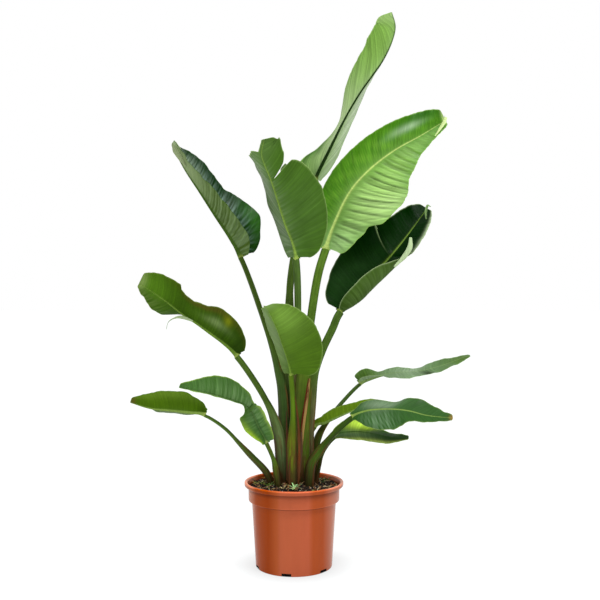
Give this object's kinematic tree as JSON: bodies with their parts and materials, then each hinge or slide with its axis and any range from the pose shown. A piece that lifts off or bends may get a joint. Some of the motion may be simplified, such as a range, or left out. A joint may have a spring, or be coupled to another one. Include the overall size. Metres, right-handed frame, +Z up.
{
  "type": "potted bird of paradise plant",
  "caption": "Potted bird of paradise: paddle-shaped, waved and torn leaves on long grooved stalks that fan out of the soil of a round plastic nursery pot.",
  "frame": {"origin": "centre of the pot's base, on the surface that the pot stands on", "axes": "+Z up, from the pot's base to the top leaf; -Y towards the front, which is the side pictured; +X to the right as seen from the front"},
  "size_m": [0.7313, 0.3421, 1.1659],
  "materials": {
    "pot": "glossy terracotta-coloured plastic",
    "soil": "dark, damp potting soil",
    "stalk": "smooth green plant stalk",
    "leaf": "satin green leaf"
  },
  "bodies": {
    "root": {"pot": "pot", "soil": "soil", "stalk_top": "stalk", "leaf_top": "leaf", "stalk_upper_right": "stalk", "leaf_upper_right": "leaf", "stalk_upper_centre": "stalk", "leaf_upper_centre": "leaf", "stalk_upper_left": "stalk", "leaf_upper_left": "leaf", "stalk_middle_right": "stalk", "leaf_middle_right": "leaf", "stalk_front_centre": "stalk", "leaf_front_centre": "leaf", "stalk_middle_left": "stalk", "leaf_middle_left": "leaf", "stalk_low_left": "stalk", "leaf_low_left": "leaf", "stalk_low_left_bent": "stalk", "leaf_low_left_bent": "leaf", "stalk_low_right_wavy": "stalk", "leaf_low_right_wavy": "leaf", "stalk_low_right": "stalk", "leaf_low_right": "leaf", "stalk_back_right": "stalk", "leaf_back_right": "leaf", "stalk_low_right_under": "stalk", "leaf_low_right_under": "leaf"}
  },
  "joints": []
}
